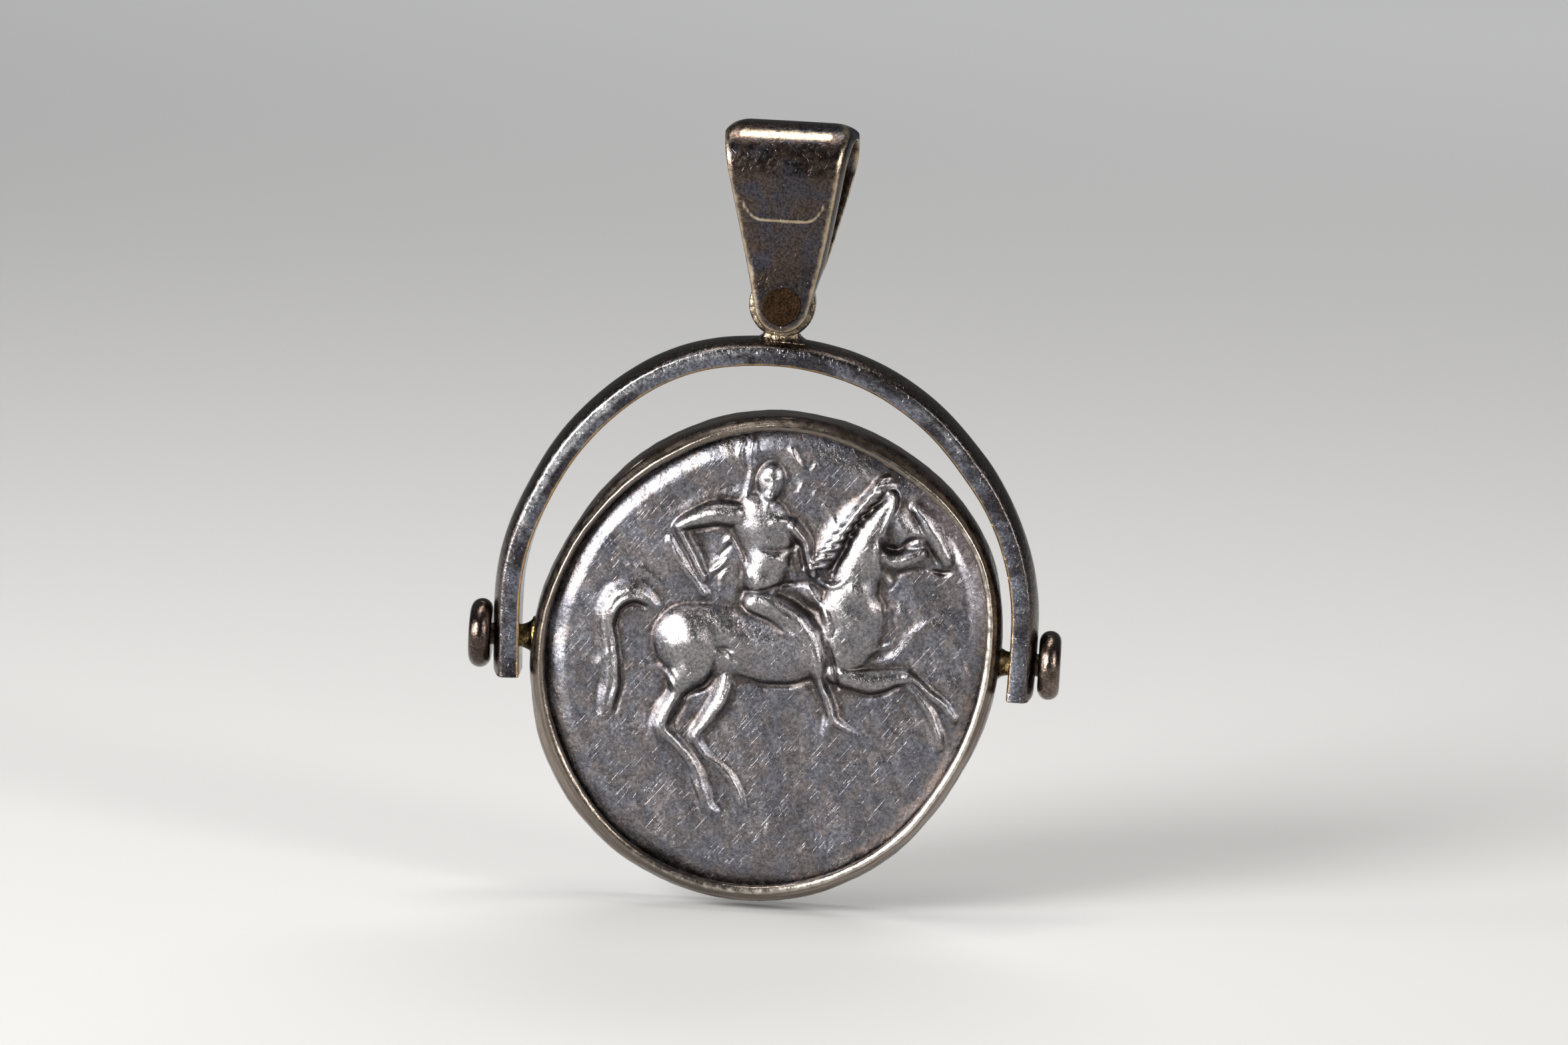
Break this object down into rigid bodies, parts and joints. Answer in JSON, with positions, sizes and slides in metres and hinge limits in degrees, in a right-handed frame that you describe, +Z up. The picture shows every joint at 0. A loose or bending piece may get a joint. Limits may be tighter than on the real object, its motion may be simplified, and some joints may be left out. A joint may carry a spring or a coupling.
{
  "type": "coin pendant",
  "caption": "Swivel pendant: a worn silver coin in a barrel bezel that turns on pins in a half-round stirrup, hung from a riveted folded bail.",
  "frame": {"origin": "the chain seat: the highest point of the inside of the bail's loop, in the middle of its width", "axes": "+X to the right seen from the front, +Y to the back, +Z up as it hangs; the coin's horseman faces -Y"},
  "size_m": [0.0284, 0.0046, 0.0377],
  "materials": {
    "coin_silver": "worn, hand-toned silver with fine scratches",
    "bezel_silver": "polished silver with a warm tone, gold-coloured solder at the pins",
    "stirrup_silver": "polished silver",
    "bail_silver": "polished silver, lightly toned",
    "head_silver": "polished silver",
    "rivet_copper": "dark toned copper, flush and dull"
  },
  "bodies": {
    "bail": {"bail": "bail_silver", "bail_rivet": "rivet_copper"},
    "stirrup": {"stirrup": "stirrup_silver"},
    "holder": {"bezel": "bezel_silver", "coin": "coin_silver", "rivet_head_left": "head_silver", "rivet_head_right": "head_silver"}
  },
  "joints": [
    {"name": "stirrup_swing", "type": "hinge", "parent": "bail", "child": "stirrup", "pos_m": [0, 0, -0.00795], "axis": [0, 1, 0], "range_deg": [-60, 60]},
    {"name": "coin_swivel", "type": "hinge", "parent": "stirrup", "child": "holder", "pos_m": [0, 0, -0.02465], "axis": [1, 0, 0], "continuous": true}
  ]
}
